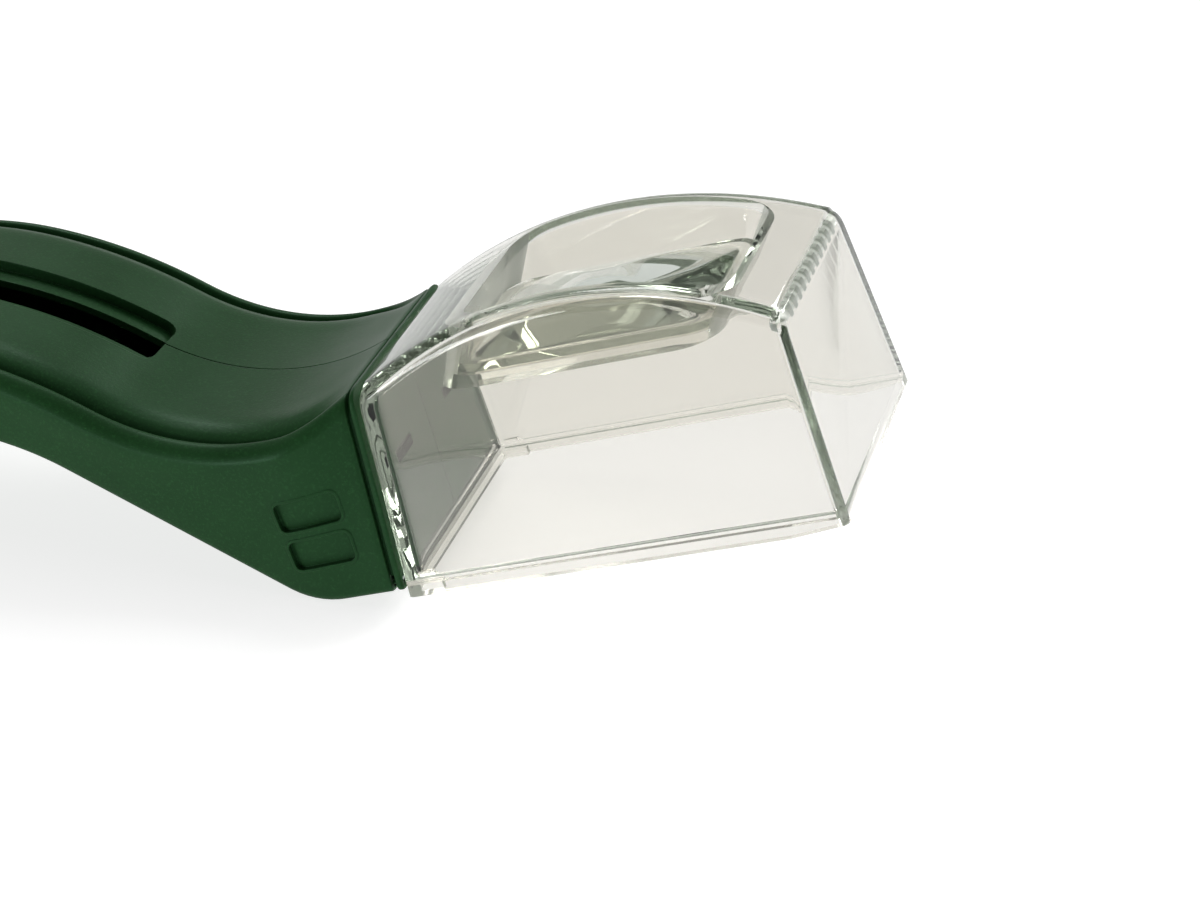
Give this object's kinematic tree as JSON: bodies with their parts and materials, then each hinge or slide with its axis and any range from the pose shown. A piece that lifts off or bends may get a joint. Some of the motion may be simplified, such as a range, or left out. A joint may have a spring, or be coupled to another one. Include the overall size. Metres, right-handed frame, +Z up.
{
  "type": "bug catcher",
  "caption": "Clear arched box with a rectangular magnifier in its roof on a curved hollow handle, shut from below by a sliding door that a thumb button moves.",
  "frame": {"origin": "centre of the resting part's bounding box, on the surface it rests on", "axes": "+Z up as it rests on the heel and tail of its handle, +X from the handle towards the box, +Y to the left seen along +X"},
  "size_m": [0.2596, 0.064, 0.0677],
  "materials": {
    "clear_plastic": "clear, polished, very slightly warm",
    "lens_plastic": "clear, polished",
    "green_plastic": "fine satin spark texture",
    "button_plastic": "satin with moulded grip ribs",
    "black_plastic": "satin",
    "screw_steel": "zinc plated",
    "door_plastic": "thin clear sheet, slightly milky"
  },
  "bodies": {
    "handle_and_box": {"clear_box": "clear_plastic", "magnifier_lens": "lens_plastic", "handle_left": "green_plastic", "handle_right": "green_plastic", "handle_screw_1": "screw_steel", "handle_screw_2": "screw_steel", "handle_screw_3": "screw_steel", "handle_screw_4": "screw_steel", "handle_screw_5": "screw_steel"},
    "thumb_slider": {"thumb_button": "button_plastic", "slide_carriage": "black_plastic", "button_screw": "screw_steel", "strap_rivet": "screw_steel", "pull_strap_5": "black_plastic"},
    "door_1": {"door_sheet_1": "door_plastic"},
    "door_2": {"door_sheet_2": "door_plastic"},
    "door_3": {"door_sheet_3": "door_plastic"},
    "door_4": {"door_sheet_4": "door_plastic"},
    "door_5": {"door_sheet_5": "door_plastic"},
    "door_6": {"door_sheet_6": "door_plastic"},
    "strap_1": {"pull_strap_1": "black_plastic"},
    "strap_2": {"pull_strap_2": "black_plastic"},
    "strap_3": {"pull_strap_3": "black_plastic"},
    "strap_4": {"pull_strap_4": "black_plastic"}
  },
  "joints": [
    {"name": "thumb_slide", "type": "hinge", "parent": "handle_and_box", "child": "thumb_slider", "pos_m": [-0.05452, 0, -0.06692], "axis": [0, 1, 0], "range_deg": [0, 47.34]},
    {"name": "door_slide", "type": "slide", "parent": "handle_and_box", "child": "door_1", "axis": [0.9496, 0, 0.3135], "range_m": [0, 0.0833]},
    {"name": "door_bend_2", "type": "hinge", "parent": "handle_and_box", "child": "door_2", "pos_m": [0.03422, 0, 0.13568], "axis": [0, 1, 0], "range_deg": [-36.04, 0], "deforming": ["door_sheet_2"]},
    {"name": "door_bend_3", "type": "hinge", "parent": "handle_and_box", "child": "door_3", "pos_m": [0.04207, 0, 0.09967], "axis": [0, 1, 0], "range_deg": [-49.6, 0], "deforming": ["door_sheet_3"]},
    {"name": "door_bend_4", "type": "hinge", "parent": "handle_and_box", "child": "door_4", "pos_m": [0.04207, 0, 0.0997], "axis": [0, 1, 0], "range_deg": [-49.58, 0], "deforming": ["door_sheet_4"]},
    {"name": "door_bend_5", "type": "hinge", "parent": "handle_and_box", "child": "door_5", "pos_m": [0.0428, 0, 0.10897], "axis": [0, 1, 0], "range_deg": [-45.11, 0], "deforming": ["door_sheet_5"]},
    {"name": "door_bend_6", "type": "hinge", "parent": "handle_and_box", "child": "door_6", "pos_m": [0.04755, 0, 0.13043], "axis": [0, 1, 0], "range_deg": [-37.17, 0], "deforming": ["door_sheet_6"]},
    {"name": "strap_bend_1", "type": "hinge", "parent": "handle_and_box", "child": "strap_1", "pos_m": [0.06492, 0, 0.18158], "axis": [0, 1, 0], "range_deg": [-26.03, 0], "deforming": ["pull_strap_1"]},
    {"name": "strap_bend_2", "type": "hinge", "parent": "handle_and_box", "child": "strap_2", "pos_m": [-0.08846, 0, -0.17507], "axis": [0, 1, 0], "range_deg": [0, 22.35], "deforming": ["pull_strap_2"]},
    {"name": "strap_bend_3", "type": "hinge", "parent": "handle_and_box", "child": "strap_3", "pos_m": [-0.05907, 0, -0.09032], "axis": [0, 1, 0], "range_deg": [0, 38.43], "deforming": ["pull_strap_3"]},
    {"name": "strap_bend_4", "type": "hinge", "parent": "handle_and_box", "child": "strap_4", "pos_m": [-0.05467, 0, -0.0695], "axis": [0, 1, 0], "range_deg": [0, 46.19], "deforming": ["pull_strap_4"]}
  ],
  "couplings": [
    {"joint": "door_slide", "follows": "thumb_slide", "m_per_rad": 0.10083},
    {"joint": "door_bend_2", "follows": "thumb_slide", "ratio": -0.76139},
    {"joint": "door_bend_3", "follows": "thumb_slide", "ratio": -1.0477},
    {"joint": "door_bend_4", "follows": "thumb_slide", "ratio": -1.0474},
    {"joint": "door_bend_5", "follows": "thumb_slide", "ratio": -0.953},
    {"joint": "door_bend_6", "follows": "thumb_slide", "ratio": -0.78517},
    {"joint": "strap_bend_1", "follows": "thumb_slide", "ratio": -0.54994},
    {"joint": "strap_bend_2", "follows": "thumb_slide", "ratio": 0.47221},
    {"joint": "strap_bend_3", "follows": "thumb_slide", "ratio": 0.8118},
    {"joint": "strap_bend_4", "follows": "thumb_slide", "ratio": 0.97567}
  ]
}
